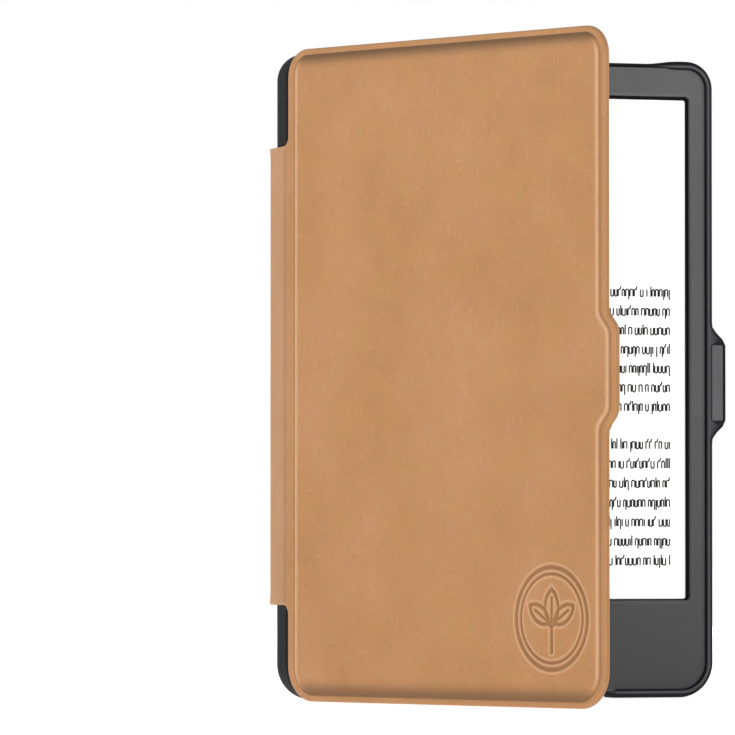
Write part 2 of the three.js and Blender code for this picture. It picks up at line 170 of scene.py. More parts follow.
def tab_bump(v, shrink=0.0):
    """How far the closure tab stands out of the free edge at height v."""
    return eased(np.abs(v - TAB_Z), [(0, TAB_PROUD), (10.5 - shrink, TAB_PROUD), (14 - shrink, 0)])


def lobe_bump(v):
    """How far the back panel's lobe reaches on to the tab at height v."""
    return eased(np.abs(v - TAB_Z), [(0, 6.7), (10.3, 6.7), (14.2, 2.5), (19.5, 0)], 0.9)


def loop_normals(points):
    """Inward normals of an anticlockwise loop."""
    forward = np.roll(points, -1, 0) - points
    back = points - np.roll(points, 1, 0)
    forward /= np.linalg.norm(forward, axis=1)[:, None]
    back /= np.linalg.norm(back, axis=1)[:, None]
    along = forward + back
    along /= np.linalg.norm(along, axis=1)[:, None]
    return np.stack([-along[:, 1], along[:, 0]], 1)


def inside(points, polygon):
    """Which points lie inside the polygon."""
    result = np.zeros(len(points), bool)
    x, y = points[:, 0], points[:, 1]
    for (x1, y1), (x2, y2) in zip(polygon, np.roll(polygon, -1, 0)):
        crosses = (y1 > y) != (y2 > y)
        if y1 != y2:
            result ^= crosses & (x < (x2 - x1) * (y - y1) / (y2 - y1) + x1)
    return result


def circle(cx, cz, radius, count):
    a = np.linspace(0, 2 * math.pi, count, endpoint=False)
    return np.stack([cx + radius * np.cos(a), cz + radius * np.sin(a)], 1)


# Meshes ----


def plane_at(y, wear_and_painted_light=0.0):
    """A lift for Shape.fill that lays a region flat at y."""
    return lambda flat: (upright(flat, y), wear_and_painted_light)


class Shape:
    """A mesh made of loops joined by strips, and flat regions between loops filled with a grid."""

    def __init__(self):
        self.points = []
        self.wear_and_painted_light = []
        self.faces = []

    def loop(self, points, wear_and_painted_light=0.0):
        start = len(self.points)
        self.points += [tuple(p) for p in points]
        self.wear_and_painted_light += list(np.broadcast_to(wear_and_painted_light, len(points)))
        return list(range(start, start + len(points)))

    def strip(self, a, b, closed=True):
        for i in range(len(a) if closed else len(a) - 1):
            j = (i + 1) % len(a)
            self.faces.append((a[i], a[j], b[j], b[i]))

    def chain(self, loops):
        for a, b in zip(loops, loops[1:]):
            self.strip(a, b)

    def fill(self, outer, holes, gap, lift, fine=None):
        """Fills the region inside `outer` and outside `holes`, each a (uv, indices) pair.
        lift(uv) gives the space points and the painted light (the vertex attribute's value) of the grid
        points. fine = (centre, radius, gap)."""
        borders = [outer, *holes]
        flat = np.concatenate([uv for uv, _ in borders])
        indices = [i for _, loop in borders for i in loop]
        edges, start = [], 0
        for uv, _ in borders:
            n = len(uv)
            edges += [(start + i, start + (i + 1) % n) for i in range(n)]
            start += n
        low, high = outer[0].min(0), outer[0].max(0)
        xs = np.arange(low[0] + gap / 2, high[0], gap)
        zs = np.arange(low[1] + gap / 2, high[1], gap)
        grid = np.stack(np.meshgrid(xs, zs), -1).reshape(-1, 2)
        if fine:
            (cx, cz), radius, small = fine
            ticks = np.arange(-radius, radius + small / 2, small)
            dense = np.stack(np.meshgrid(ticks, ticks), -1).reshape(-1, 2)
            dense = dense[np.hypot(*dense.T) <= radius] + (cx, cz)
            grid = grid[np.hypot(grid[:, 0] - cx, grid[:, 1] - cz) > radius + gap / 2]
            grid = np.concatenate([grid, dense])
        keep = inside(grid, outer[0])
        for uv, _ in holes:
            keep &= ~inside(grid, uv)
        grid = grid[keep]
        clear = min(gap * 0.45, 0.9)
        for at in range(0, len(flat), 200):
            part = flat[at:at + 200]
            near = np.hypot(grid[:, None, 0] - part[None, :, 0], grid[:, None, 1] - part[None, :, 1])
            grid = grid[near.min(1) > clear]
        if len(grid):
            space, wear_and_painted_light = lift(grid)
            indices += self.loop(space, wear_and_painted_light)
        every = np.concatenate([flat, grid])
        solved = delaunay_2d_cdt([Vector(p) for p in every], edges, [], 0, 1e-6)
        where = [group[0] for group in solved[3]]
        triangles = np.array(solved[2])
        place = np.array([tuple(p) for p in solved[0]])
        middle = place[triangles].mean(1)
        kept = inside(middle, outer[0])
        for uv, _ in holes:
            kept &= ~inside(middle, uv)
        for triangle in triangles[kept]:
            self.faces.append(tuple(indices[where[i]] for i in triangle))

    def build(self, name, cut=None):
        """The object. cut = (y, keep_above) keeps the part on one side of a plane across the strap."""
        mesh = bpy.data.meshes.new(name)
        bm = bmesh.new()
        layer = bm.verts.layers.float.new("wear_and_painted_light")
        for point, wear_and_painted_light in zip(to_space(self.points), self.wear_and_painted_light):
            vert = bm.verts.new(point)
            vert[layer] = wear_and_painted_light
        bm.verts.ensure_lookup_table()
        for face in self.faces:
            bm.faces.new([bm.verts[i] for i in face])
        bmesh.ops.remove_doubles(bm, verts=bm.verts[:], dist=1e-7)
        bmesh.ops.delete(bm, geom=[v for v in bm.verts if not v.link_faces], context="VERTS")
        if cut:
            y, keep_above = cut
            geometry = bm.verts[:] + bm.edges[:] + bm.faces[:]
            normal = (0, -1, 0) if keep_above else (0, 1, 0)
            bmesh.ops.bisect_plane(bm, geom=geometry, plane_co=(0, (y + ORIGIN[1]) * MM, 0),
                                   plane_no=normal, clear_outer=True, dist=1e-7)
            bmesh.ops.holes_fill(bm, edges=[e for e in bm.edges if e.is_boundary], sides=0)
        bmesh.ops.recalc_face_normals(bm, faces=bm.faces[:])
        bm.to_mesh(mesh)
        bm.free()
        return finish_mesh(name, mesh)


def finish_mesh(name, mesh):
    mesh.shade_smooth()
    mesh.set_sharp_from_angle(angle=SHARP_ANGLE)
    place = np.zeros(len(mesh.vertices) * 3, np.float32)
    mesh.vertices.foreach_get("co", place)
    rest = mesh.attributes.new("rest", "FLOAT_VECTOR", "POINT")
    rest.data.foreach_set("vector", place)
    if "wear_and_painted_light" not in mesh.attributes:
        mesh.attributes.new("wear_and_painted_light", "FLOAT", "POINT")
    return add_object(name, mesh)


def turned(name, profile, centre, sides=128):
    """A ring turned about a Y axis. The profile lists (radius, y, painted light), the last being the
    vertex attribute's value.
    """
    shape = Shape()
    loops = []
    for radius, y, wear_and_painted_light in profile:
        loops.append(shape.loop(upright(circle(*centre, radius, sides), y), wear_and_painted_light))
    shape.chain([*loops, loops[0]])
    return shape.build(name)


def arc_profile(centre, radius, start, end, count):
    angles = np.radians(np.linspace(start, end, count))
    return [(centre[0] + radius * math.cos(a), centre[1] + radius * math.sin(a)) for a in angles]


# Materials ----


def add_node(tree, kind, sockets=None, **settings):
    """Any socket given as another node's socket is linked, any other is given its value."""
    node = tree.nodes.new(kind)
    for key, value in settings.items():
        setattr(node, key, value)
    for key, value in (sockets or {}).items():
        socket = node.inputs[key]
        if isinstance(value, bpy.types.NodeSocket):
            tree.links.new(value, socket)
        else:
            socket.default_value = value
    return node


class Nodes:
    """Builds one node material. `place` is the point on the object in millimetres."""

    def __init__(self, name, coordinates="Object"):
        self.material = bpy.data.materials.new(name)
        self.material.use_nodes = True
        self.tree = self.material.node_tree
        self.tree.nodes.clear()
        if coordinates == "Object":
            place = self.add("ShaderNodeTexCoord").outputs["Object"]
        else:
            place = self.add("ShaderNodeAttribute", attribute_name="rest").outputs["Vector"]
        scaled = self.add("ShaderNodeVectorMath", {0: place, "Scale": 1 / MM}, operation="SCALE")
        self.place = scaled.outputs[0]

    def add(self, kind, sockets=None, **settings):
        return add_node(self.tree, kind, sockets, **settings)

    def math(self, operation, *values):
        return self.add("ShaderNodeMath", dict(enumerate(values)), operation=operation).outputs[0]

    def noise(self, per_mm, detail=2.0, roughness=0.5, vector=None):
        sockets = {"Vector": self.place if vector is None else vector, "Scale": per_mm,
                   "Detail": detail, "Roughness": roughness}
        return self.add("ShaderNodeTexNoise", sockets).outputs["Fac"]

    def streaks(self, scale, detail=1.0, roughness=0.5, rotation=None):
        """Noise with a scale for each axis."""
        place = self.place
        if rotation:
            place = self.add("ShaderNodeMapping", {"Vector": place, "Rotation": rotation}).outputs[0]
        place = self.add("ShaderNodeVectorMath", {0: place, 1: scale}, operation="MULTIPLY").outputs[0]
        return self.noise(1.0, detail, roughness, place)

    def ramp(self, value, low, high, to_low=0.0, to_high=1.0):
        sockets = {"Value": value, "From Min": low, "From Max": high, "To Min": to_low, "To Max": to_high}
        return self.add("ShaderNodeMapRange", sockets, clamp=True).outputs["Result"]

    def mix(self, share, a, b):
        return self.add("ShaderNodeMix", {0: share, 6: a, 7: b}, data_type="RGBA").outputs[2]

    def over(self, base, colour, value, low, high, share=1.0):
        """Lays a colour over base, from none where value is low to `share` where it is high."""
        return self.mix(self.ramp(value, low, high, 0.0, share), base, colour)

    def bump(self, height, strength, distance_mm, normal=None):
        sockets = {"Height": height, "Strength": strength, "Distance": distance_mm * MM}
        if normal is not None:
            sockets["Normal"] = normal
        return self.add("ShaderNodeBump", sockets).outputs[0]

    def surface(self, **sockets):
        named = {key.replace("_", " "): value for key, value in sockets.items()}
        shader = self.add("ShaderNodeBsdfPrincipled", named)
        self.add("ShaderNodeOutputMaterial", {"Surface": shader.outputs[0]})
        return self.material


def rgb(*values):
    """A linear colour from 0-255 sRGB values."""
    shares = [value / 255 for value in values]
    return (*(c / 12.92 if c <= 0.04045 else ((c + 0.055) / 1.055) ** 2.4 for c in shares), 1.0)


def tinted(colour, factor, lift=0.0):
    """The colour made lighter or darker by a factor."""
    return tuple(min(1.0, c * factor + lift) for c in colour[:3]) + (1.0,)


LEATHER_DARK = rgb(163, 117, 71)
LEATHER_LIGHT = rgb(175, 128, 86)
LEATHER_GOLD = rgb(170, 126, 74)
LEATHER_WARM = rgb(176, 120, 79)
LEATHER_SHADE = rgb(136, 94, 56)
# Pale tone of the streaks and specks, also used for the painted highlight.
LEATHER_WORN_AND_HIGHLIGHT = rgb(206, 164, 126)
# Painted shade colour for the leather's negative vertex attribute.
LEATHER_PAINTED_SHADE = rgb(106, 75, 44)


def leather_material():
    """Waxed tan leather: clouded tones, fine streaks and specks. Where the vertex attribute is
    positive the leather is lighter, a painted highlight with a rubbed look; where it is negative
    it takes painted shade."""
    n = Nodes("leather_tan", "rest")
    broad = n.noise(0.045, 2.0, 0.5)
    cloud = n.noise(0.32, 4.0, 0.6)
    fine = n.noise(2.6, 3.0, 0.65)
    patchy = n.noise(0.13, 3.0, 0.55)
    base = n.mix(n.ramp(broad, 0.34, 0.66), LEATHER_DARK, LEATHER_LIGHT)
    base = n.over(base, LEATHER_GOLD, patchy, 0.4, 0.66, 0.7)
    base = n.over(base, LEATHER_WARM, cloud, 0.35, 0.7, 0.5)
    base = n.over(base, LEATHER_SHADE, fine, 0.5, 0.72, 0.22)
    upright = n.streaks((1.5, 1.5, 0.3))
    level = n.streaks((0.28, 0.28, 1.6))
    slanted = n.streaks((0.3, 2.0, 1.8), rotation=(0.0, 0.6, 0.0))
    patches = n.ramp(n.noise(0.14, 2.0), 0.42, 0.56)
    dark = n.math("MULTIPLY", n.ramp(n.math("MAXIMUM", upright, slanted), 0.63, 0.76), patches)
    base = n.mix(n.math("MULTIPLY", dark, 0.27), base, LEATHER_SHADE)
    light = n.math("MAXIMUM", n.ramp(level, 0.65, 0.78), n.ramp(upright, 0.33, 0.22))
    base = n.mix(n.math("MULTIPLY", light, 0.15), base, LEATHER_WORN_AND_HIGHLIGHT)
    speck = n.noise(0.95, 1.0, 0.4)
    base = n.over(base, LEATHER_SHADE, speck, 0.66, 0.76, 0.3)
    base = n.over(base, LEATHER_WORN_AND_HIGHLIGHT, speck, 0.3, 0.2, 0.22)
    wear_and_painted_light = n.add("ShaderNodeAttribute", attribute_name="wear_and_painted_light").outputs["Fac"]
    # Painted highlight where the attribute is positive, painted shade where it is negative.
    highlight_and_rub = n.math("MULTIPLY", n.ramp(wear_and_painted_light, 0.0, 1.0), n.ramp(cloud, 0.2, 0.6, 0.7, 1.0))
    base = n.mix(n.math("MULTIPLY", highlight_and_rub, 0.85), base, LEATHER_WORN_AND_HIGHLIGHT)
    base = n.over(base, LEATHER_PAINTED_SHADE, wear_and_painted_light, 0.0, -1.0)
    pores = n.add("ShaderNodeTexVoronoi", {"Vector": n.place, "Scale": 3.4, "Randomness": 1.0})
    pitted = n.math("MULTIPLY", pores.outputs["Distance"], 0.55)
    grain = n.math("ADD", pitted, n.math("MULTIPLY", fine, 0.6))
    normal = n.bump(grain, 0.16, 0.06)
    normal = n.bump(n.math("SUBTRACT", cloud, n.math("MULTIPLY", dark, 0.8)), 0.22, 0.12, normal)
    rough = n.ramp(cloud, 0.25, 0.75, 0.66, 0.8)
    return n.surface(Base_Color=base, Roughness=rough, Normal=normal, Specular_IOR_Level=0.35,
                     Sheen_Weight=0.12, Sheen_Roughness=0.5)


# Height in mm below which plastic with a foot under 1 takes painted shade, darkest at the floor.
FOOT_PAINTED_SHADE_HEIGHT = 85.0


def plastic_material(name, colour, roughness, coordinates="Object", grain=0.1, spread=0.12, crest=2.2,
                     foot=1.0, specular=0.3):
    """Fine-textured moulded plastic with slight tone changes. crest is how many times lighter the
    painted highlight makes it where the vertex attribute is 1, and foot is how much of the tone is
    left at the lower end, as painted shade that darkens it towards the bottom."""
    n = Nodes(name, coordinates)
    light, dark = tinted(colour, 1 + spread), tinted(colour, 1 - spread)
    cloud = n.noise(0.09, 3.0, 0.5)
    fine = n.noise(5.0, 2.0, 0.6)
    base = n.mix(n.ramp(cloud, 0.3, 0.7), dark, light)
    base = n.over(base, light, fine, 0.35, 0.65, 0.12)
    # Painted shade: darker towards the bottom.
    if foot < 1.0:
        height = n.add("ShaderNodeSeparateXYZ", {0: n.place}).outputs["Z"]
        base = n.over(base, tinted(colour, foot), height, FOOT_PAINTED_SHADE_HEIGHT, 0.0)
    # Painted highlight where the attribute is positive, painted shade where it is negative.
    if coordinates == "rest":
        wear_and_painted_light = n.add("ShaderNodeAttribute", attribute_name="wear_and_painted_light").outputs["Fac"]
        base = n.over(base, tinted(colour, crest, 0.02), wear_and_painted_light, 0.0, 1.0, 0.9)
        base = n.over(base, tinted(colour, 0.1), wear_and_painted_light, 0.0, -1.0)
    rough = n.ramp(n.noise(0.5, 3.0), 0.3, 0.7, roughness - 0.05, roughness + 0.06)
    return n.surface(Base_Color=base, Roughness=rough, Normal=n.bump(fine, grain, 0.03),
                     Specular_IOR_Level=specular)


def weave_material(name, colour, coordinates="Object"):
    """Close microfibre: short crossed fibres over an uneven nap."""
    n = Nodes(name, coordinates)
    light, dark = tinted(colour, 1.5), tinted(colour, 0.7)
    fibre = n.streaks((7.0, 7.0, 1.6), 2.0)
    cross = n.streaks((1.6, 1.6, 7.0), 2.0)
    nap = n.noise(0.06, 3.0)
    both = n.math("MULTIPLY", n.math("ADD", fibre, cross), 0.5)
    base = n.mix(n.ramp(both, 0.35, 0.65), dark, light)
    base = n.over(base, dark, nap, 0.35, 0.65, 0.3)
    return n.surface(Base_Color=base, Roughness=0.92, Normal=n.bump(both, 0.35, 0.08),
                     Specular_IOR_Level=0.2, Sheen_Weight=0.3, Sheen_Roughness=0.4)


def metal_material(name, colour, roughness):
    n = Nodes(name)
    brushed = n.streaks((8.0, 1.5, 0.6), 3.0, 0.6)
    base = n.mix(n.ramp(brushed, 0.3, 0.7), colour, tinted(colour, 1.15))
    rough = n.ramp(brushed, 0.3, 0.7, roughness - 0.06, roughness + 0.08)
    return n.surface(Base_Color=base, Roughness=rough, Metallic=1.0, Normal=n.bump(brushed, 0.06, 0.02))


def board_material():
    n = Nodes("board_green")
    tracks = n.add("ShaderNodeTexBrick", {"Vector": n.place, "Scale": 0.9, "Mortar Size": 0.03,
                                          "Color1": (0, 0, 0, 1), "Color2": (0.2, 0.2, 0.2, 1),
                                          "Mortar": (1, 1, 1, 1)})
    cloud = n.noise(0.3, 3.0)
    base = n.mix(n.ramp(cloud, 0.3, 0.7), rgb(24, 66, 42), rgb(36, 88, 56))
    base = n.mix(n.math("MULTIPLY", tracks.outputs["Color"], 0.5), base, rgb(96, 132, 78))
    return n.surface(Base_Color=base, Roughness=0.5, Normal=n.bump(cloud, 0.1, 0.03))


def paper_material():
    """The page: an even white with the faint tooth of e-paper, and a glow that is partly the
    reader's front light and partly painted light that lifts the page to pure white.
    """
    n = Nodes("page_white")
    tooth = n.noise(9.0, 2.0, 0.7)
    cloud = n.noise(0.05, 2.0)
    base = n.mix(n.ramp(tooth, 0.3, 0.7), (0.9, 0.9, 0.895, 1), (0.96, 0.96, 0.955, 1))
    base = n.over(base, (0.93, 0.925, 0.91, 1), cloud, 0.3, 0.7, 0.1)
    return n.surface(Base_Color=base, Roughness=0.6, Normal=n.bump(tooth, 0.05, 0.02),
                     Specular_IOR_Level=0.3, Emission_Color=(1.0, 0.995, 0.98, 1), Emission_Strength=0.32)


LEATHER = leather_material()
LINING = weave_material("microfibre_dark", rgb(66, 62, 60), "rest")
# crest sets how much the painted highlight lightens the shell's rim crest and the ring's bead.
SHELL = plastic_material("shell_graphite", rgb(29, 29, 31), 0.6, "rest", 0.14, crest=7.0, specular=0.08)
RING = plastic_material("ring_graphite", rgb(44, 44, 46), 0.45, "rest", 0.1, crest=5.0)
SHELL_CAP = plastic_material("cap_graphite", rgb(66, 66, 68), 0.4, "rest", 0.1)
# The bezel's foot of 0.5 paints shade on its lower part.
READER = plastic_material("reader_grey", rgb(92, 92, 92), 0.6, "rest", 0.1, 0.06, foot=0.5)
READER_CAD = plastic_material("reader_grey_cad", rgb(70, 70, 72), 0.55, "Object", 0.1, 0.08)
TAB_GREY = plastic_material("tab_plate_grey", rgb(98, 98, 99), 0.6, "Object", 0.12, 0.08)
INK = plastic_material("page_ink", rgb(30, 30, 32), 0.8, "rest", 0.05, 0.25)

# Shell ----

# The half widths at which each notch begins to fade and ends.
TOP_NOTCH = (40.0, 48.0)
BOTTOM_NOTCH = (29.8, 30.8)
# Painted light on the shell: the back face a little lighter as a painted highlight, and painted shade on
# the side under the strap.
BACK_PAINTED_LIGHT = 0.13
HINGE_SIDE_PAINTED_SHADE = 0.6
# The hole for the power button, and the wider seat in the shell's inner face for the cap's flange.
HOLE_RADIUS, SEAT_RADIUS = 5.9, 6.9
SEAT_BACK = SHELL_BACK - 0.14


def case_shell():
    """The moulded shell: a wall section carried round the outline, with the back and the cavity's
    floor filled in. Each row of the section has its inset and y in the plain wall, in the top
    notch, in the bottom notch and at the tab, then how far it follows the tab, then its painted
    light: a painted highlight on the front rim's crest, painted shade on the rim's outer slope;
    the rounded back edge fades from the back's painted highlight to painted shade."""
    marks = [-31.6, -30.8, -30.3, -29.8, 29.8, 30.3, 30.8, 31.6]
    ramps = [48.0, 46.0, 40.0, -40.0, -46.0, -48.0]
    base, inward = rounded(-HALF, HALF, 0, HEIGHT, CASE_RADII, 1.5, 14, marks, ramps, TAB_MARKS)
    across = np.abs(base[:, 0])
    upper = base[:, 1] > HEIGHT / 2
    top = smooth((TOP_NOTCH[1] - across) / (TOP_NOTCH[1] - TOP_NOTCH[0])) * upper
    bottom = np.clip((BOTTOM_NOTCH[1] - across) / (BOTTOM_NOTCH[1] - BOTTOM_NOTCH[0]), 0, 1) * ~upper
    bump = tab_bump(base[:, 1]) * (base[:, 0] > HALF - 1)
    tab = bump / TAB_PROUD
    shape = Shape()
    section = []
    back_round = arc_profile((3.2, 8.1), 3.2, 90, 180, 8)
    small_round = arc_profile((1.2, 10.1), 1.2, 90, 180, 8)
    for (d, y), small, wear_and_painted_light in zip(back_round, small_round, np.linspace(BACK_PAINTED_LIGHT, -0.3, 8)):
        in_top = d + 0.7 if d < 0.7 else d
        section.append((d, y, in_top, y, max(d, 1.4), max(y, 10.05), *small, 1, wear_and_painted_light))
    section += [
        (0, 6.0, 0.7, 6.0, 1.4, 10.0, 0, 6.0, 1, 0.0),
        (0, 3.0, 0.7, 3.0, 1.4, 9.95, 0, 2.2, 1, 0.0),
        (0, 1.5, 0.7, 2.3, 1.4, 9.9, 0, 0.9, 1, 0.0),
        (0.06, 1.0, 0.76, 2.05, 1.42, 9.86, 0.06, 0.5, 1, 0.0),
        (0.26, 0.58, 0.9, 1.87, 1.44, 9.84, 0.24, 0.2, 1, 0.0),
        (0.6, 0.25, 1.05, 1.81, 1.46, 9.82, 0.5, 0.05, 1, -0.3),
        (0.95, 0.06, 1.15, 1.8, 1.48, 9.82, 0.85, 0.0, 0.9, 0.1),
        (1.3, 0.0, 1.25, 1.8, 1.5, 9.82, 1.2, 0.0, 0, 1.0),
        (1.6, 0.06, 1.35, 1.81, 1.52, 9.82, 1.6, 0.06, 0, 0.9),
        (1.85, 0.24, 1.45, 1.85, 1.54, 9.83, 1.85, 0.24, 0, 0.0),
        (2.15, 0.55, 1.5, 1.95, 1.56, 9.86, 2.15, 0.55, 0, 0.0),
        (2.2, 0.7, 1.52, 2.05, 1.57, 9.9, 2.2, 0.7, 0, 0.0),
        (1.5, 0.74, 1.53, 2.2, 1.58, 9.92, 1.5, 0.74, 0, 0.0),
        (1.46, 5.0, 1.54, 5.0, 1.6, 9.95, 1.46, 5.0, 0, 0.0),
        (1.46, CAVITY_FLOOR, 1.55, CAVITY_FLOOR, 1.62, CAVITY_FLOOR, 1.46, CAVITY_FLOOR, 0, 0.0),
    ]

    def at(row, k):
        full, in_top, in_bottom, in_tab = np.array(row).reshape(4, 2)
        dy = full + top[:, None] * (in_top - full) + bottom[:, None] * (in_bottom - full)
        dy = dy + tab[:, None] * (in_tab - dy)
        flat = base + inward * dy[:, :1]
        flat[:, 0] += bump * k
        return upright(flat, dy[:, 1])

    loops = []
    # Painted shade on the side wall under the strap, on the hinge side.
    hinge_side = smooth((-base[:, 0] - HALF + 6.0) / 5.0)
    for *row, k, wear_and_painted_light in section:
        tone = wear_and_painted_light * (1 - bottom) * (1 - top)
        if 0.5 < row[1] < 7.0:
            tone = tone - HINGE_SIDE_PAINTED_SHADE * hinge_side
        loops.append(shape.loop(at(row, k), tone))
    shape.chain(loops)
    bore = []
    for border, y, radius, wear_and_painted_light in ((loops[0], SHELL_BACK, HOLE_RADIUS, BACK_PAINTED_LIGHT),
                                    (loops[-1], CAVITY_FLOOR, SEAT_RADIUS, 0.0)):
        uv = np.array([shape.points[i] for i in border])[:, [0, 2]]
        hole = circle(POWER_X, POWER_Z, radius, 48)
        ring = shape.loop(upright(hole, y))
        shape.fill((uv, border), [(hole, ring)], 12.0, plane_at(y, wear_and_painted_light))
        bore.append(ring)
    seat = [shape.loop(upright(circle(POWER_X, POWER_Z, radius, 48), SEAT_BACK))
            for radius in (HOLE_RADIUS, SEAT_RADIUS)]
    shape.chain([bore[0], *seat, bore[1]])
    shell = shape.build("shell_body")
    cut_plate_pocket(shell)
    return shell


def cut_plate_pocket(shell):
    """Cuts the pocket that holds the tab's plate out of the shell's front."""
    side_gap, end_gap = 0.12, 0.15
    uv, _ = rounded(PLATE_LOW.x / MM - ORIGIN[0] - side_gap, PLATE_HIGH.x / MM - ORIGIN[0] + side_gap,
                    PLATE_LOW.z / MM - end_gap, PLATE_HIGH.z / MM + end_gap, (0.5,) * 4, 2.0, 5)
    ends = (-2.0, 0.95)
    pocket = Shape()
    walls = [pocket.loop(upright(uv, y)) for y in ends]
    pocket.chain(walls)
    for wall, y in zip(walls, ends):
        pocket.fill((uv, wall), [], 40.0, plane_at(y))
    cutter = pocket.build("pocket_cutter")
    cut = shell.modifiers.new("pocket", "BOOLEAN")
    cut.operation, cut.solver, cut.object = "DIFFERENCE", "EXACT", cutter
    bpy.context.view_layer.update()
    evaluated = shell.evaluated_get(bpy.context.evaluated_depsgraph_get())
    mesh = bpy.data.meshes.new_from_object(evaluated)
    shell.modifiers.clear()
    shell.data = mesh
    mesh.set_sharp_from_angle(angle=SHARP_ANGLE)
    bpy.data.objects.remove(cutter)


def button_ring():
    outer, foot = 9.1, SHELL_BACK - 0.08
    crest, bead, back = 8.0, 0.82, LEATHER_BACK + 0.8
    # The last column is painted light: painted shade on the outer wall and down the bore, a painted
    # highlight on the bead's crest.
    profile = [(outer, foot, -0.6), (outer, LEATHER_BACK + 0.05, -0.4)]
    profile += [(radius, y, 0.8 * smooth((y - back + 0.5) / 0.45))
                for radius, y in arc_profile((crest, back - bead), bead, 15, 165, 14)]
    profile += [(7.1, back - 0.5, 0.0), (6.5, back - 0.72, -0.15), (6.05, LEATHER_BACK - 0.02, -0.5),
                (5.88, LEATHER_BACK - 0.15, -0.9), (5.85, foot, -1.0)]
    return turned("button_ring", profile, (POWER_X, POWER_Z))


CAP_RADIUS = 5.6
SIGN_RADIUS, SIGN_HALF, SIGN_GAP, SIGN_DEPTH = 2.7, 0.5, 38, 0.28
BAR_ENDS, BAR_HALF = (0.15, 3.1), 0.45


def button_cap():
    """A dished cap with the power sign cut into it, a flange that keeps it in and a stem."""
    centre = (POWER_X, POWER_Z)
    sides = 160
    shape = Shape()

    def dish(radius):
        bowl = LEATHER_BACK - 0.12 + 0.5 * smooth(radius / CAP_RADIUS) * min(1.0, radius / 4.0) ** 0.5
        return bowl - 0.22 * max(0.0, (radius - 5.2) / 0.4) ** 2

    def cut(px, pz):
        radius = np.hypot(px, pz)
        angle = np.degrees(np.arctan2(np.abs(px), pz))
        arc = np.abs(radius - SIGN_RADIUS) - SIGN_HALF
        tip = np.radians(SIGN_GAP)
        tip_x, tip_z = SIGN_RADIUS * math.sin(tip), SIGN_RADIUS * math.cos(tip)
        ends = np.hypot(np.abs(px) - tip_x, pz - tip_z) - SIGN_HALF
        arc = np.where(angle > SIGN_GAP, arc, ends)
        bar = np.hypot(px, pz - np.clip(pz, *BAR_ENDS)) - BAR_HALF
        return SIGN_DEPTH * smooth((0.12 - np.minimum(arc, bar)) / 0.24)

    loops = []
    for radius in [*np.arange(0.12, 5.21, 0.12), 5.32, 5.42, 5.5, 5.56, CAP_RADIUS]:
        ring = circle(0, 0, radius, sides)
        groove = cut(ring[:, 0], ring[:, 1])
        # Painted highlight on the cap's rim and painted shade in the power sign's groove.
        wear_and_painted_light = (0.5 if 5.2 < radius < 5.5 else 0.0) - 0.9 * groove / SIGN_DEPTH
        loops.append(shape.loop(upright(ring + centre, dish(radius) - groove), wear_and_painted_light))
    shape.chain(loops)
    middle = float(dish(0.0) - cut(np.array(0.0), np.array(0.0)))
    top = shape.loop([(centre[0], middle, centre[1])])
    for i in range(sides):
        shape.faces.append((loops[0][i], loops[0][(i + 1) % sides], top[0]))
    flange, stem = 6.6, 2
    flange_back, flange_front, stem_tip = SHELL_BACK - 0.2, SHELL_BACK - 0.6, 10.15
    under = [(CAP_RADIUS, flange_back), (flange, flange_back), (flange, flange_front),
             (stem, flange_front), (stem, stem_tip)]
    lower = [shape.loop(upright(circle(*centre, radius, sides), y)) for radius, y in under]
    shape.chain([loops[-1], *lower])
    shape.faces.append(tuple(lower[-1]))
    return shape.build("power_cap")


# Reader front ----


READER_RADIUS = 5.8
OPENING = (-51.4, 51.4, 24.9, 154.4)


def bezel():
    low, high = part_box("front_bezel")
    left, right = low.x / MM - ORIGIN[0], high.x / MM - ORIGIN[0]
    front, back = low.y / MM - ORIGIN[1], high.y / MM - ORIGIN[1]
    shape = Shape()

    def ring(line, sign, profile):
        base, normal = line
        pairs = []
        for d, depth, wear_and_painted_light in [*profile, (0, back - front, 0)]:
            flat = base + normal * d * sign
            pairs.append((flat, shape.loop(upright(flat, front + depth), wear_and_painted_light)))
        shape.chain([loop for _, loop in pairs])
        return pairs

    # The last column is painted light: a slight painted highlight on the rounded edges.
    edge = [(0.5, 0, 0), (0.3, 0.04, 0.2), (0.13, 0.14, 0.2), (0.03, 0.32, 0), (0, 0.5, 0)]
    lip = [(0.9, 0, 0), (0.55, 0.02, 0.15), (0.28, 0.1, 0.2), (0.1, 0.28, 0.1), (0, 0.5, 0)]
    outer = rounded(left, right, low.z / MM, high.z / MM, (READER_RADIUS,) * 4, 2.0, 14)
    around = ring(outer, 1, edge)
    window = ring(rounded(*OPENING, (1.2,) * 4, 2.0, 8), -1, lip)
    for which, y in ((0, front), (-1, back)):
        shape.fill(around[which], [window[which]], 9.0, plane_at(y))
    return shape.build("reader_bezel")


# Heights of the page's marks over their line, and half the width of a stroke.
X_HEIGHT, ASCENT, DESCENT = 1.8, 2.6, -0.8
PEN_HALF = 0.18
# The first line's height, and the pitch of the lines, in each paragraph of seven.
PARAGRAPHS = ((102.9, 4.9), (63.8, 4.97))
LINES = 7
PAGE_HALF, PAGE_MARGIN, LAST_LINE_SHORTER = 50.5, 4.3, 18


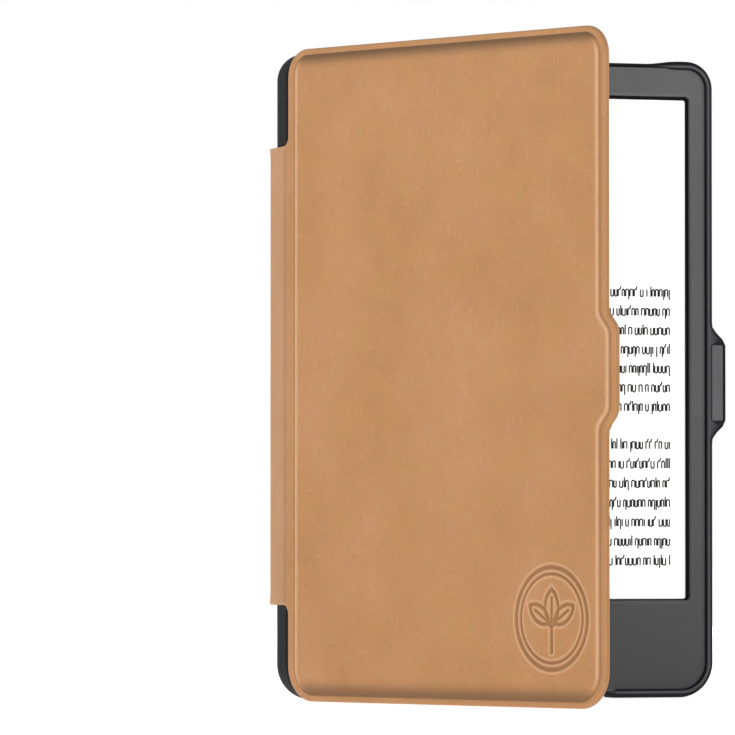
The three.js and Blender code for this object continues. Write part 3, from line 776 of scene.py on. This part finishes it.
def stroke(base):
    """One mark on the page: an arch, a cup, or an upright of some height. Returns points, width."""
    kind = random.random()
    if kind < 0.72:
        wide = random.choice((0.62, 0.72, 0.72, 0.84))
        bend = random.choice((0.18, 0.26))
        top, shoulder = X_HEIGHT, X_HEIGHT - bend
        points = [(0, 0.0), (0, shoulder), (bend, top), (wide - bend, top), (wide, shoulder), (wide, 0.0)]
        if kind < 0.3:
            points = [(px, top - pz) for px, pz in points]
        if kind > 0.66:
            points = [(0, DESCENT), *points[1:]]
        if 0.3 < kind < 0.38:
            points = [(0, ASCENT), *points[2:]]
        return [(px, base + pz) for px, pz in points], wide
    uprights = ((0.0, X_HEIGHT), (0.0, ASCENT), (0.0, ASCENT), (DESCENT, X_HEIGHT))
    low, high = random.choice(uprights)
    return [(0.0, base + low), (0.0, base + high)], 0.12


def page_marks():
    """Plain strokes in word-like groups, set to the right margin as a page of text is."""
    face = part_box("touch_film")[0].y / MM - ORIGIN[1]
    random.seed(11)
    shape = Shape()
    right = PAGE_HALF - PAGE_MARGIN
    lines = [first - pitch * k for first, pitch in PARAGRAPHS for k in range(LINES)]
    for number, base in enumerate(lines):
        x = right
        stop = LAST_LINE_SHORTER - right if number == LINES - 1 else -right
        while x > stop:
            word = []
            for _ in range(random.choice((1, 2, 3, 4, 5, 5, 6, 7, 8))):
                points, width = stroke(base)
                word.append([(x - px, pz) for px, pz in points])
                x -= width + 0.34
            x -= 0.62
            if x < stop - 1.5:
                break
            for points in word:
                ribbon(shape, points, face)
    return shape.build("page_marks")


def ribbon(shape, points, face):
    """A flat raised stroke through the points, on the page's surface."""
    line = np.array(points)
    along = np.diff(line, axis=0)
    along /= np.linalg.norm(along, axis=1)[:, None]
    across = np.stack([-along[:, 1], along[:, 0]], 1)
    turn = (across[:-1] * across[1:]).sum(1)[:, None]
    side = np.concatenate([across[:1], (across[:-1] + across[1:]) / (1 + turn), across[-1:]]) * PEN_HALF
    a0, a1, b0, b1 = [shape.loop(upright(flat, y)) for flat in (line - side, line + side)
                      for y in (face - 0.02, face + 0.01)]
    for p, q in ((a0, b0), (b0, b1), (b1, a1), (a1, a0)):
        shape.strip(p, q, closed=False)
    shape.faces.append((a0[0], b0[0], b1[0], a1[0]))
    shape.faces.append((a0[-1], a1[-1], b1[-1], b0[-1]))


# Leather ----
# The cover and the back panel are sheets cut flat in (u, v), with a strap that turns round a
# hinge line. n is the height above the middle of the sheet.

def turn_round(flat, n, hinge, from_flat, to_strap, reach):
    """u > 0 runs along `from_flat` from the hinge line, u < 0 along the strap. Within reach of the
    hinge line the sheet bends. Returns (x, y, z) points."""
    u = flat[:, 0]
    a, b = np.array(from_flat), np.array(to_strap)
    t = np.clip((reach - u) / (2 * reach), 0, 1)[:, None]
    start, end = a * reach, b * reach
    middle = (1 - t) ** 2 * start + t ** 2 * end
    slope = -2 * (1 - t) * start + 2 * t * end
    slope = slope / np.linalg.norm(slope, axis=1)[:, None]
    middle = middle + a * np.maximum(u - reach, 0)[:, None] + b * np.maximum(-u - reach, 0)[:, None]
    side = np.cross(np.append(a, 0), np.append(b, 0))[2]
    normal = np.stack([slope[:, 1], -slope[:, 0]], 1) * (1 if side > 0 else -1)
    xy = hinge + middle - normal * (n * np.ones(len(u)))[:, None]
    return np.column_stack([xy, flat[:, 1]])


def cover_space(flat, n):
    away = (math.cos(COVER_ANGLE), -math.sin(COVER_ANGLE))
    return turn_round(flat, n, FRONT_HINGE, away, (0, 1), 1.6)


def back_space(flat, n):
    """Here u = 0 is the rear hinge line and u grows towards the tab."""
    return turn_round(flat, n, REAR_HINGE, (1, 0), (0, -1), 2.0)


def taper(start, length, high, low):
    """The heights of a sheet's two faces at u. Each is given as (on the strap, change beyond it)."""
    def levels(u):
        share = smooth((np.asarray(u, float) + start) / length)
        return high[0] + high[1] * share, low[0] + low[1] * share
    return levels


def face_of(space, levels, side):
    """A lift for Shape.fill on the outer (0) or inner (1) face of a sheet."""
    return lambda flat: (space(flat, levels(flat[:, 0])[side]), 0.0)


def hinge_painted_shade(flat):
    """Painted shade along the hinge line, where the sheet turns round it."""
    return np.exp(-(flat[:, 0] / 0.9) ** 2)


def sheet_edge(shape, outline, normals, section, space, levels):
    """Carries an edge section, of (inset, share of the thickness, painted light) rows, round a sheet."""
    pairs = []
    for d, share, wear_and_painted_light in section:
        flat = outline + normals * d
        high, low = levels(flat[:, 0])
        pairs.append((flat, shape.loop(space(flat, high + (low - high) * share), wear_and_painted_light)))
    shape.chain([loop for _, loop in pairs])
    return pairs


def with_strap(flat, left, fillet, reach):
    """Adds the spine strap to a sheet outline whose left side is at u = left."""
    keep = [i for i, (u, v) in enumerate(flat)
            if not (abs(u - left) < 1e-6 and SPINE_BOTTOM - 4 < v < SPINE_TOP + 4)]
    gap = next(k for k in range(len(keep) - 1) if keep[k + 1] - keep[k] > 1)
    before, after = flat[keep[:gap + 1]], flat[keep[gap + 1:]]

    def corner(end, side):
        angles = [math.radians(90.0 * i / 8) for i in range(9)]
        return [(left - fillet + fillet * math.cos(a), end + side * (fillet - fillet * math.sin(a)))
                for a in angles]

    far = left - reach
    strap = corner(SPINE_TOP, 1)
    strap += [(x, SPINE_TOP) for x in np.arange(left - fillet - 0.6, far + 0.3, -0.7)]
    strap += [(far, z) for z in np.linspace(SPINE_TOP, SPINE_BOTTOM, 40)]
    strap += [(x, SPINE_BOTTOM) for x in np.arange(far + 0.7, left - fillet - 0.3, 0.7)]
    strap += corner(SPINE_BOTTOM, -1)[::-1]
    return np.concatenate([before, strap, after])


# Edge rows as (inset, share of the thickness, painted light): a lighter rounded edge, partly a painted
# highlight, and slight painted shade on the side.
EDGE = [(0.5, 0.0, 0), (0.28, 0.03, 0.1), (0.12, 0.11, 0.25), (0.02, 0.27, 0), (0.0, 0.5, -0.1),
        (0.02, 0.75, 0), (0.12, 0.9, 0), (0.28, 0.98, 0), (0.5, 1.0, 0)]

COVER_LEFT, COVER_RIGHT = 1.4, 116.0
PANEL_LEFT = 2.7
PANEL_RADII = (8.2, 9.0, 7.0, 6.2)
PANEL_HEIGHT = 0.36
COVER_LEVELS = taper(0.8, 2.4, (0.6, 0.4), (-0.1, -0.65))
BACK_LEVELS = taper(1.0, 3.0, (0.6, -0.2), (-0.1, -0.3))


def cover_line(left, radii, arc=14):
    """The cover's outline without its tab, with the inward normals."""
    return rounded(left, COVER_RIGHT, 0, HEIGHT, radii, 1.6, arc, right_marks=TAB_MARKS)


def inset(line, d):
    """The line moved inwards by d, with the tab on its free edge."""
    base, inward = line
    flat = base + inward * d
    flat[:, 0] += tab_bump(base[:, 1], 0.4 * d) * (base[:, 0] > COVER_RIGHT - 1)
    return flat


# The generic badge: rings as (radius, half width), leaves as (angle, start, length, width).
BADGE = (97.9, 21.6)
BADGE_RADIUS = 14.1
BADGE_RINGS = ((12.3, 0.32), (10.7, 0.16))
BADGE_LEAVES = ((0, -0.5, 9.2, 4.6), (58, 0.9, 8.0, 3.8), (-58, 0.9, 8.0, 3.8))
SPRIG_DROP = 1.6
BADGE_DEPTH = 0.4


def leaf_lines(x, z, angle, start, length, width):
    """The lines of a pointed leaf whose stalk end is `start` from the middle."""
    a = math.radians(angle)
    along = x * math.sin(a) + z * math.cos(a)
    across = np.abs(x * math.cos(a) - z * math.sin(a))
    half = length / 2
    radius = (half * half + width * width / 4) / width
    outline = np.abs(np.hypot(along - start - half, across + radius - width / 2) - radius)
    vein = np.hypot(across, along - np.clip(along, start + 1.2, start + length - 2.0))
    return [(outline, 0.27), (vein, 0.16)]


def badge_height(u, v):
    """The badge pressed into the cover, two rings round a sprig of leaves: its height, and its painted
    light, a painted highlight on the lips and painted shade in the grooves.
    """
    x, z = u - BADGE[0], v - BADGE[1]
    radius = np.hypot(x, z)
    lines = [(np.abs(radius - at), width) for at, width in BADGE_RINGS]
    for leaf in BADGE_LEAVES:
        lines += leaf_lines(x, z + SPRIG_DROP, *leaf)
    stalk = np.hypot(x, z + SPRIG_DROP - np.clip(z + SPRIG_DROP, -6.5, -0.6))
    lines.append((stalk, 0.3))
    depth = np.zeros_like(x)
    rise = np.zeros_like(x)
    for distance, width in lines:
        depth = np.maximum(depth, smooth((width + 0.3 - distance) / 0.45))
        rise = np.maximum(rise, np.exp(-((distance - width - 0.55) / 0.3) ** 2))
    rise = rise * (1 - depth)
    return 0.14 * rise - BADGE_DEPTH * depth, 0.7 * rise - 0.45 * depth


def ripple(u, v):
    """Slight unevenness of leather stretched over board."""
    h = 0.045 * np.sin(u * 0.083 + 0.6) * np.sin(v * 0.061 + 1.1)
    h += 0.03 * np.sin(u * 0.21 + v * 0.12 + 2.0)
    h += 0.02 * np.sin(u * 0.13 - v * 0.31 + 0.4) * np.sin(u * 0.37 + 1.7)
    return h


# The step up to the panel: (inset, rise, painted light) rows, painted shade in the groove and a painted
# highlight on the ridge.
PANEL_EDGE = [(1.35, 0.0, -0.1), (1.5, -0.06, -0.4), (1.66, -0.03, -0.35), (1.8, 0.12, 0.0),
              (2.0, 0.3, 0.45), (2.25, 0.4, 1.0), (2.6, 0.43, 0.8), (3.0, 0.4, 0.2),
              (3.6, PANEL_HEIGHT, 0.0), (4.3, PANEL_HEIGHT, 0.0)]
STEP_TOP, STEP_BOTTOM = 3.2, 4.2


def near_ends(v, start, extra=0):
    """How near v is to the panel's lower and upper end: 1 at the step up to it, then falling to 0."""
    low = 1 - smooth((v - start) / (STEP_BOTTOM + extra))
    high = 1 - smooth((HEIGHT - v - start) / (STEP_TOP + extra))
    return low, high


def end_painted_shade(v):
    """Painted shade at the panel's two ends, darkest at the step up to it."""
    low, high = near_ends(v, 1.9)
    return np.maximum(0.86 * low, high)


def end_droop(v):
    """How far the padding sinks towards the panel's two ends."""
    return 0.3 * np.maximum(*near_ends(v, 1.7, 1))


def cover_leather():
    """The cover's outer leather with its turned edges and raised panel, and half the strap."""
    shape = Shape()
    edge_line = cover_line(COVER_LEFT, CASE_RADII)
    panel_line = cover_line(PANEL_LEFT, PANEL_RADII)
    outer = with_strap(inset(edge_line, 0.0), COVER_LEFT, 2.2, 12.5)
    loops = sheet_edge(shape, outer, loop_normals(outer), EDGE, cover_space, COVER_LEVELS)

    on_ends = smooth(np.abs(panel_line[1][:, 1]))
    panel = []
    for d, rise, wear_and_painted_light in PANEL_EDGE:
        flat = inset(panel_line, d)
        v = flat[:, 1]
        # Painted highlight on the ridge and painted shade in the groove along the panel's left and right
        # sides; painted shade at its two ends.
        panel_painted_light = wear_and_painted_light * (1 - on_ends) - end_painted_shade(v) * smooth((d - 1.4) / 0.2) * on_ends
        n = 1.0 + rise - end_droop(v) * on_ends * smooth((d - 1.4) / 0.8)
        panel.append((flat, shape.loop(cover_space(flat, n), panel_painted_light)))
    shape.chain([loop for _, loop in panel])

    def border(flat):
        # Painted shade along the front hinge.
        return cover_space(flat, COVER_LEVELS(flat[:, 0])[0]), -0.35 * hinge_painted_shade(flat)

    shape.fill(loops[0], [panel[0]], 0.8, border)

    def face(flat):
        u, v = flat[:, 0], flat[:, 1]
        height, badge_painted_light = badge_height(u, v)
        near_end = np.minimum(v, HEIGHT - v)
        side = np.minimum(u - PANEL_LEFT, COVER_RIGHT - u)
        calm = smooth((np.minimum(side, near_end) - 4.3) / 6)
        n = 1.0 + PANEL_HEIGHT - end_droop(v) + ripple(u, v) * calm + height
        # Painted highlight and shade of the badge, and painted shade at the panel's ends.
        return cover_space(flat, n), badge_painted_light - end_painted_shade(v)

    shape.fill(panel[-1], [], 1.3, face, fine=(BADGE, BADGE_RADIUS, 0.2))

    pocket, mouth, floor = inset(edge_line, 1.15), -0.75, 0.4
    walls = [(pocket, shape.loop(cover_space(pocket, n))) for n in (mouth, floor)]
    shape.chain([loop for _, loop in walls])
    shape.fill(loops[-1], [walls[0]], 0.9, face_of(cover_space, COVER_LEVELS, 1))
    shape.fill(walls[1], [], 12.0, lambda flat: (cover_space(flat, floor), 0.0))
    return shape.build("cover_skin", cut=(STRAP_MIDDLE, False))


def back_leather():
    """The back panel's leather with its lobe and button hole, and the other half of the strap."""
    edge, top_edge, bore = 4.8, 4.5, 9.22
    left = -HALF + edge - REAR_HINGE[0]
    right = HALF - edge - REAR_HINGE[0]
    base, _ = rounded(left, right, edge, HEIGHT - top_edge, (4.6,) * 4, 1.6, 12,
                      right_marks=[TAB_Z - 20, TAB_Z - 8, TAB_Z + 8, TAB_Z + 20])
    base[:, 0] += lobe_bump(base[:, 1]) * (base[:, 0] > right - 1)
    outer = with_strap(base, left, 3.0, 16.5)
    hole = circle(POWER_X - REAR_HINGE[0], POWER_Z, bore, 72)
    # The rim's last column lightens the cut edge's rounding, partly a painted highlight.
    rim = [(0.34, 0.0, 0.2), (0.18, 0.05, 0.7), (0.06, 0.16, 1.0), (0.0, 0.36, 0.6), (0.0, 1.0, 0)]
    shape = Shape()
    sides = sheet_edge(shape, outer, loop_normals(outer), rim, back_space, BACK_LEVELS)
    bores = sheet_edge(shape, hole, (hole - hole.mean(0)) / bore, rim, back_space, BACK_LEVELS)

    def face(flat):
        u, v = flat[:, 0], flat[:, 1]
        uneven = 0.6 * ripple(u + 20, v) * smooth((u - 4) / 6)
        # Painted shade along the rear hinge.
        return back_space(flat, BACK_LEVELS(u)[0] + uneven), -0.25 * hinge_painted_shade(flat)

    shape.fill(sides[0], [bores[0]], 1.9, face)
    shape.fill(sides[-1], [bores[-1]], 6.0, face_of(back_space, BACK_LEVELS, 1))
    return shape.build("back_skin", cut=(STRAP_MIDDLE, True))


def lining_sheet(name, space, outline, levels, gap, cut):
    section = [(0.4, 0.0, 0), (0.12, 0.1, 0.3), (0.0, 0.45, 0), (0.1, 0.9, 0), (0.3, 1.0, 0)]
    shape = Shape()
    loops = sheet_edge(shape, outline, loop_normals(outline), section, space, levels)
    shape.fill(loops[0], [], gap, face_of(space, levels, 0))
    shape.fill(loops[-1], [], gap, face_of(space, levels, 1))
    return shape.build(name, cut=cut)


def cover_lining():
    margin = 0.7
    flat = inset(cover_line(COVER_LEFT, CASE_RADII, 12), margin)
    outline = with_strap(flat, COVER_LEFT + margin, 1.6, 13.0)
    levels = taper(0.8, 2.6, (-0.13, -0.65), (-0.6, -0.7))
    return lining_sheet("cover_lining_sheet", cover_space, outline, levels, 2.4, (STRAP_MIDDLE, False))


def spine_lining():
    outline, _ = rounded(-16.5, 2.0, SPINE_BOTTOM + 0.5, SPINE_TOP - 0.5, (0.6,) * 4, 1.0, 4)
    levels = taper(1.0, 3.0, (-0.13, -0.29), (-0.6, -0.14))
    return lining_sheet("spine_lining_sheet", back_space, outline, levels, 1.2, (STRAP_MIDDLE, True))


# Pieces ----


def finish_piece(piece, material, nodes=()):
    piece.data.materials.clear()
    piece.data.materials.append(material)
    if nodes:
        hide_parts(*nodes)
    return piece


PIECES = [
    (case_shell, SHELL, "shell_plastic", "case", ["case_shell"]),
    (button_ring, RING, "shell_plastic", "case", []),
    (button_cap, SHELL_CAP, "shell_plastic", "power_button", ["button_cap"]),
    (bezel, READER, "reader_plastic", "case", ["front_bezel"]),
    (page_marks, INK, "screen_film", "case", []),
]
for make, material, slot, body, nodes in PIECES:
    piece = finish_piece(make(), material, nodes)
    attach(piece, body)

cover = finish_piece(cover_leather(), LEATHER, ["cover_leather", "spine_leather"])
back = finish_piece(back_leather(), LEATHER, ["back_leather"])
inner = finish_piece(cover_lining(), LINING, ["cover_lining"])
strap_inner = finish_piece(spine_lining(), LINING, ["spine_lining"])

# Bake the sheets' placements into their meshes.
for piece in (cover, inner):
    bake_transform(piece)
for piece in (back, strap_inner):
    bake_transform(piece)

# Carried-over CAD nodes ----

STEEL = metal_material("steel_bright", (0.56, 0.57, 0.58, 1), 0.32)
FRAME_METAL = metal_material("frame_grey", (0.34, 0.35, 0.36, 1), 0.42)
FOIL = metal_material("battery_foil_silver", (0.46, 0.47, 0.48, 1), 0.4)
BOARD = board_material()
CHIP = plastic_material("chip_black", rgb(26, 26, 28), 0.45)
FILM = plastic_material("flex_amber", rgb(176, 108, 38), 0.4)
FOAM = plastic_material("foam_black", rgb(9, 9, 10), 0.9)
GUIDE = plastic_material("light_guide_clear", rgb(236, 236, 230), 0.25, spread=0.04)
GLASS = plastic_material("display_glass_grey", rgb(214, 213, 207), 0.5, spread=0.05)
CREAM = plastic_material("connector_cream", rgb(222, 216, 200), 0.55)
FIBRE = weave_material("stiff_board_brown", rgb(138, 131, 120))
PAGE = paper_material()

NODE_MATERIALS = {
    READER_CAD: ["rear_housing", "power_key"],
    TAB_GREY: ["tab_magnet_cover"],
    FOAM: ["screen_gasket"],
    PAGE: ["touch_film"],
    GUIDE: ["frontlight_guide", "led_strip"],
    GLASS: ["eink_panel"],
    FILM: ["display_flex", "touch_flex", "frontlight_flex", "battery_lead", "switch_flex"],
    FRAME_METAL: ["middle_frame"],
    FOIL: ["battery"],
    CREAM: ["battery_connector"],
    BOARD: ["main_board", "switch_board"],
    CHIP: ["memory_chip", "power_chip", "hall_sensor"],
    STEEL: ["soc_shield", "wifi_module", "usb_c_port", "power_switch", "tab_magnet", "sleep_magnet",
            "closure_magnet", *(f"frame_screw_{i}" for i in range(1, 7)),
            *(f"board_screw_{i}" for i in range(1, 5))],
    FIBRE: ["cover_board"],
}
for material, names in NODE_MATERIALS.items():
    for name in names:
        node = frame["nodes"][name]
        node.data.materials.clear()
        node.data.materials.append(material)

for name in ("rear_housing", "usb_c_port", "tab_magnet_cover", "power_key"):
    bevel = frame["nodes"][name].modifiers.new("edges", "BEVEL")
    bevel.width = 0.12 * MM
    bevel.segments = 2
    bevel.limit_method = "ANGLE"
    bevel.angle_limit = math.radians(50)

# Studio ----

floor_mesh = bpy.data.meshes.new("studio_floor")
bm = bmesh.new()
bmesh.ops.create_circle(bm, cap_ends=True, segments=96, radius=9.0)
bm.to_mesh(floor_mesh)
bm.free()
floor = add_object("studio_floor", floor_mesh)
floor_nodes = Nodes("floor_pale")
tone = floor_nodes.noise(0.004, 2.0)
floor_colour = floor_nodes.mix(tone, (0.78, 0.78, 0.78, 1), (0.82, 0.82, 0.82, 1))
floor_mesh.materials.append(floor_nodes.surface(
    Base_Color=floor_colour, Roughness=0.9, Specular_IOR_Level=0.1,
    Emission_Color=(1, 1, 1, 1), Emission_Strength=0.66))

world = bpy.data.worlds.new("studio")
bpy.context.scene.world = world
world.use_nodes = True
tree = world.node_tree
tree.nodes.clear()
# The light from the world falls off overhead.
lookup = add_node(tree, "ShaderNodeTexCoord").outputs["Generated"]
upward_part = add_node(tree, "ShaderNodeSeparateXYZ", {0: lookup}).outputs["Z"]
fade = add_node(tree, "ShaderNodeMapRange", {"From Min": 0.2, "From Max": 0.85, "To Min": 1.0,
                                             "To Max": 0.3, "Value": upward_part},
                interpolation_type="SMOOTHSTEP").outputs["Result"]
sky = add_node(tree, "ShaderNodeBackground", {"Color": (1, 1, 1, 1), "Strength": fade})
add_node(tree, "ShaderNodeOutputWorld", {"Surface": sky.outputs[0]})

LIGHT_TARGET = Vector((0, 0, 0.09))


def softbox(name, azimuth, elevation, distance, width, height, power):
    light = bpy.data.lights.new(name, "AREA")
    light.shape = "RECTANGLE"
    light.size, light.size_y = width, height
    light.energy = power
    obj = add_object(name, light)
    away = direction(azimuth, elevation)
    obj.location = LIGHT_TARGET + away * distance
    obj.rotation_mode = "QUATERNION"
    obj.rotation_quaternion = (-away).to_track_quat("-Z", "Y")


softbox("left_box", -70, 8, 1.3, 0.7, 1.1, 8.0)
softbox("right_box", 55, 8, 1.4, 0.7, 1.1, 6.5)
softbox("back_box", 150, 12, 1.4, 0.7, 1.1, 6.0)

# Camera ----

AZIMUTH, ELEVATION = -19.7, -1.43
DISTANCE = 1.666
FOCAL_PX = 6544.0
PICTURE = 735.0
SENSOR = 36.0
CENTRE_PX = (503.0, 377.5)

camera_data = bpy.data.cameras.new("camera")
camera_data.sensor_width = SENSOR
camera_data.lens = FOCAL_PX / PICTURE * SENSOR
camera_data.clip_start, camera_data.clip_end = 0.05, 60.0
camera = add_object("camera", camera_data)
toward = direction(AZIMUTH, ELEVATION)
anchor = Vector(to_space((0, 0, HEIGHT / 2)))
camera.location = anchor + toward * DISTANCE
forward = -toward
side = forward.cross(Vector((0, 0, 1))).normalized()
upward = side.cross(forward)
aim = (forward
       - side * ((CENTRE_PX[0] - PICTURE / 2) / FOCAL_PX)
       + upward * ((CENTRE_PX[1] - PICTURE / 2) / FOCAL_PX))
camera.rotation_mode = "QUATERNION"
camera.rotation_quaternion = aim.to_track_quat("-Z", "Y")
bpy.context.scene.camera = camera

bpy.context.scene.view_settings.view_transform = "Standard"
